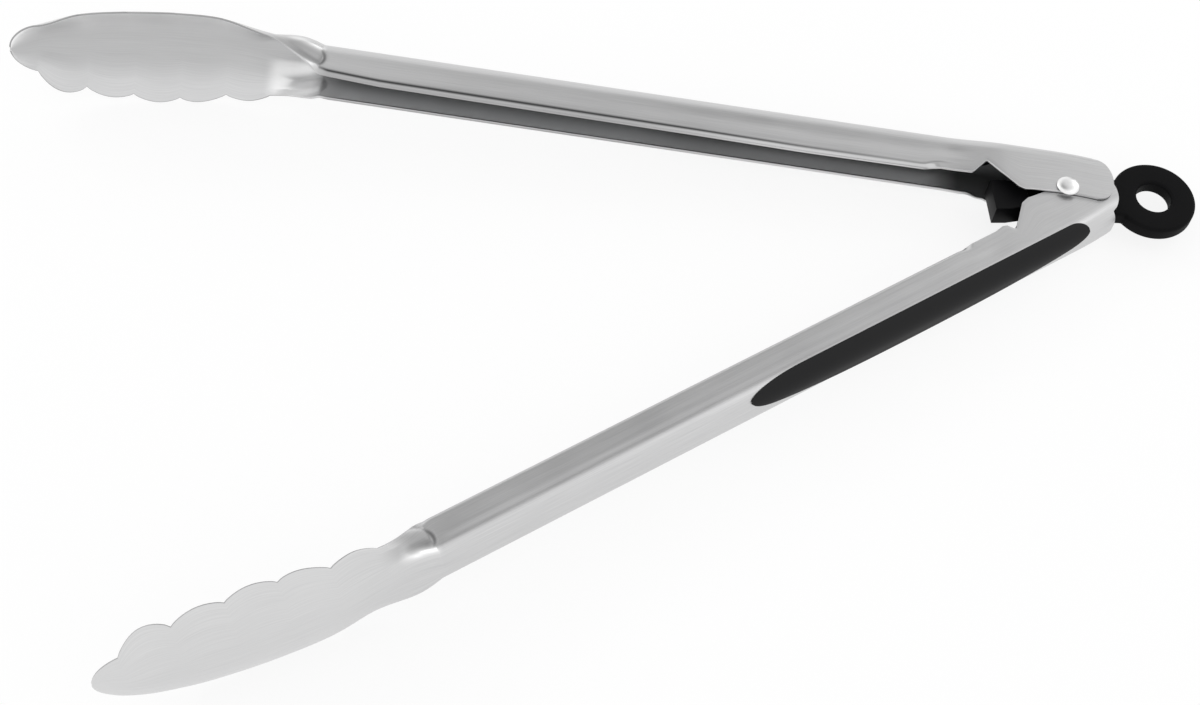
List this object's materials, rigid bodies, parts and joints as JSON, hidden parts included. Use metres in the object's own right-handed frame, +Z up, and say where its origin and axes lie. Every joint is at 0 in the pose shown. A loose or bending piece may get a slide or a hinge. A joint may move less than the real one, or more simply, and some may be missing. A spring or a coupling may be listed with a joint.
{
  "type": "locking barbecue tongs",
  "caption": "Long locking tongs: folded steel arms with scalloped scoop heads, sprung rivet hinge, soft grips and a pull ring that hangs and locks.",
  "frame": {"origin": "bottom centre of the bounding box, on the surface that the tongs lie on", "axes": "+X towards the pull ring along the line between the open arms, +Y towards the outer arm's tip, +Z up from the surface"},
  "size_m": [0.4286, 0.2734, 0.0507],
  "materials": {
    "brushed_stainless": "fine lengthwise brushed stainless sheet, satin",
    "polished_stainless": "smooth headed rivet, bright",
    "spring_wire": "drawn spring wire",
    "soft_black_grip": "soft moulded grip, satin",
    "moulded_black_nylon": "moulded nylon, low sheen",
    "ring_rubber": "moulded soft ring, matte"
  },
  "bodies": {
    "outer_arm_body": {"outer_arm": "brushed_stainless", "outer_grip_pad": "soft_black_grip", "outer_grip_core": "moulded_black_nylon", "pivot_rivet": "polished_stainless"},
    "inner_arm_body": {"inner_arm": "brushed_stainless", "inner_grip_pad": "soft_black_grip", "inner_grip_core": "moulded_black_nylon"},
    "pivot_core": {"spacer_bush": "moulded_black_nylon", "torsion_spring": "spring_wire"},
    "lock": {"lock_slide": "moulded_black_nylon", "pull_ring": "ring_rubber"}
  },
  "joints": [
    {"name": "arm_hinge", "type": "hinge", "parent": "outer_arm_body", "child": "inner_arm_body", "pos_m": [0.16254, 0, 0.01124], "axis": [-0.0435, 0, -0.9991], "range_deg": [0, 38.2], "stiffness_Nm_per_rad": 0.5, "springref_deg": -20.05, "deforming": ["torsion_spring"]},
    {"name": "core_turn", "type": "hinge", "parent": "outer_arm_body", "child": "pivot_core", "pos_m": [0.16254, 0, 0.01124], "axis": [-0.0435, 0, -0.9991], "range_deg": [0, 10.5]},
    {"name": "lock_travel", "type": "slide", "parent": "pivot_core", "child": "lock", "axis": [0.9868, -0.1564, -0.0429], "range_m": [0, 0.006]}
  ],
  "couplings": [
    {"joint": "core_turn", "follows": "arm_hinge", "ratio": 0.2698}
  ]
}
